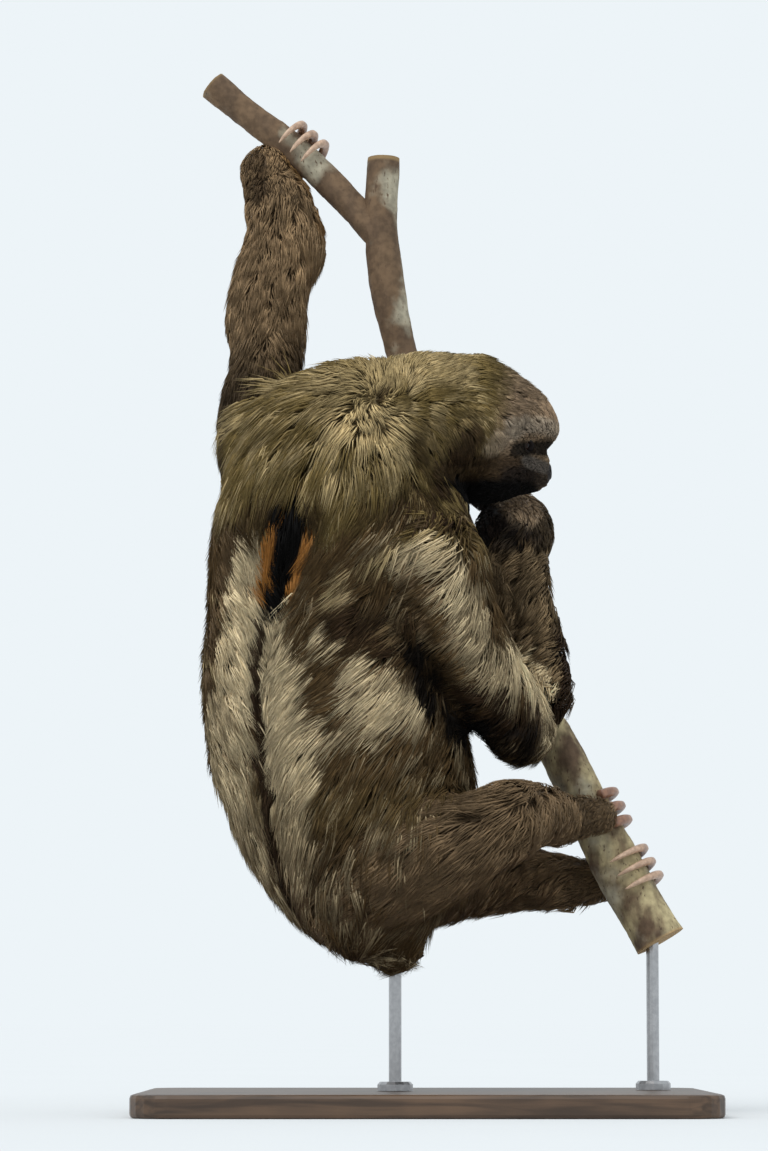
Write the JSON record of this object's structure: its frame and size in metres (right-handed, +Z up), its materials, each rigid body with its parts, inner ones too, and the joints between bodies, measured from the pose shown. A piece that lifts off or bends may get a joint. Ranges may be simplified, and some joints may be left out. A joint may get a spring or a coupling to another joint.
{
  "type": "three-toed sloth",
  "caption": "Adult three-toed sloth, still, upright and hanging by one long arm from a cut forked branch, on a flat base with upright rods.",
  "frame": {"origin": "centre of the flat underside of the base, which is the bottom centre of the whole part's box", "axes": "+Z up, the longest extent; +X is the way the face points; the back is turned towards -Y"},
  "size_m": [0.45, 0.36, 0.8657],
  "materials": {
    "coat_face": "short coarse fur with a pale brow band, a dark eye stripe and a near-black throat",
    "coat_olive": "long coarse olive-beige fur with dark roots",
    "coat_trunk": "long coarse grey-brown fur with cream bands beside a dark stripe",
    "coat_arm": "shaggy grey-brown fur, blotched with cream on the near arm",
    "coat_dark": "short dark brown fur",
    "claw_horn": "worn pale horn",
    "eye": "wet and dark",
    "branch_bark": "grey-brown bark with pale patches, sawn ends",
    "stand_board": "dark stained board, satin",
    "stand_steel": "satin steel"
  },
  "bodies": {
    "root": {"head": "coat_face", "neck": "coat_olive", "torso": "coat_trunk", "tail": "coat_trunk", "eye_L": "eye", "upper_arm_L": "coat_arm", "forearm_L": "coat_arm", "hand_L": "coat_dark", "thigh_L": "coat_trunk", "shin_L": "coat_trunk", "foot_L": "coat_dark", "claw_hand_L_1": "claw_horn", "claw_hand_L_2": "claw_horn", "claw_hand_L_3": "claw_horn", "claw_foot_L_1": "claw_horn", "claw_foot_L_2": "claw_horn", "claw_foot_L_3": "claw_horn", "eye_R": "eye", "upper_arm_R": "coat_arm", "forearm_R": "coat_arm", "hand_R": "coat_dark", "thigh_R": "coat_trunk", "shin_R": "coat_trunk", "foot_R": "coat_dark", "claw_hand_R_1": "claw_horn", "claw_hand_R_2": "claw_horn", "claw_hand_R_3": "claw_horn", "claw_foot_R_1": "claw_horn", "claw_foot_R_2": "claw_horn", "claw_foot_R_3": "claw_horn", "branch": "branch_bark", "stand_base": "stand_board", "stand_rod_stem": "stand_steel", "stand_rod_body": "stand_steel"}
  },
  "joints": []
}
